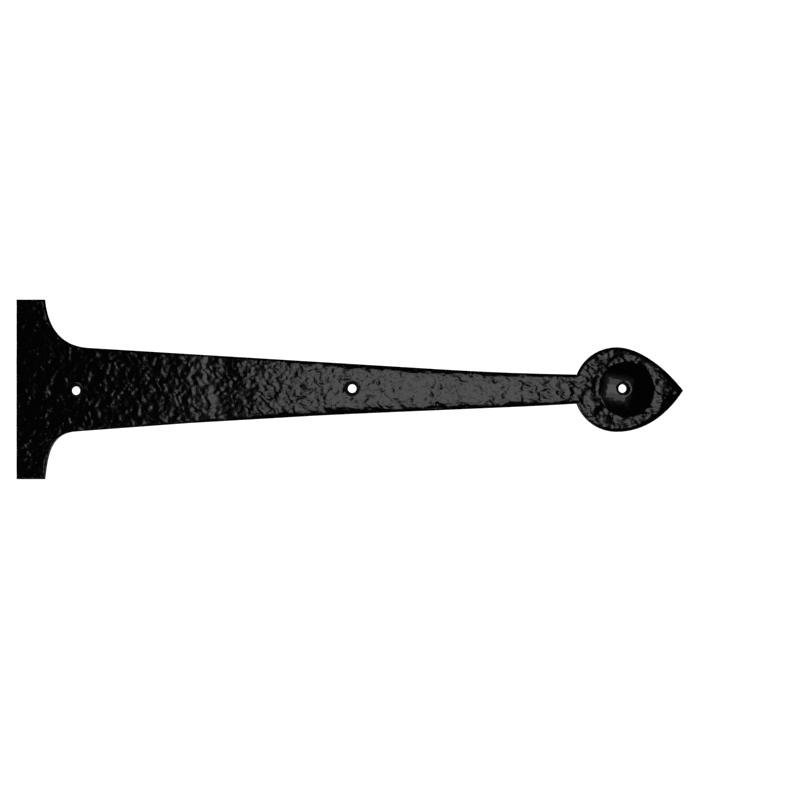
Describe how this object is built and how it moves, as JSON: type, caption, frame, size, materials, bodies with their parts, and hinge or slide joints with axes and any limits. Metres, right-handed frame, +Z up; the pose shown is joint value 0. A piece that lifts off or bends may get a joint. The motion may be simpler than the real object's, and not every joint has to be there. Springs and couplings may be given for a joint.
{
  "type": "strap hinge front",
  "caption": "Cast-iron strap hinge front with a T flare, tapered hammered strap and spear head with a domed boss.",
  "frame": {"origin": "on the door face, where the centrelines of the T flare's bar and of the strap cross", "axes": "+X along the strap to the tip, +Y into the door, so the decorated front faces -Y, +Z up"},
  "size_m": [0.381, 0.0065, 0.1028],
  "materials": {
    "black_japanned_iron": "gloss black japan over a hammered cast skin"
  },
  "bodies": {
    "root": {"strap_plate": "black_japanned_iron"}
  },
  "joints": []
}
